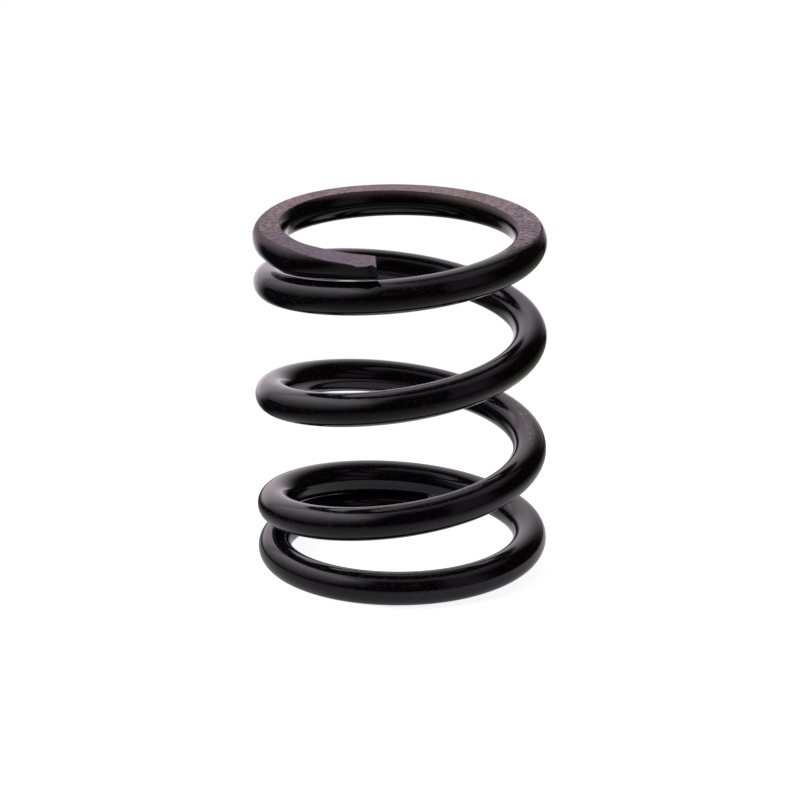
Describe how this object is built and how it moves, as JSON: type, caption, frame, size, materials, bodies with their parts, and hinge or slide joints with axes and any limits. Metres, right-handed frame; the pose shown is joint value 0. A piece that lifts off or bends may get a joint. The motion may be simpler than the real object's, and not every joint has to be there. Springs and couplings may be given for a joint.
{
  "type": "servo saver spring",
  "caption": "Right-hand helical compression spring of round wire with closed ends, each ground flat, made to slide over a servo saver tube.",
  "frame": {"origin": "under the middle of the coil, in the plane of the lower ground face", "axes": "+Z square to both ground faces, towards the upper one; the upper tip lies a little to the -X side of -Y, and the top of the coil leans 0.5 mm towards -X and a little +Y"},
  "size_m": [0.0144, 0.0142, 0.0168],
  "materials": {
    "blackened_steel": "semi-gloss black wire with matt grey-brown ground ends"
  },
  "bodies": {
    "root": {"coil_spring": "blackened_steel"}
  },
  "joints": []
}
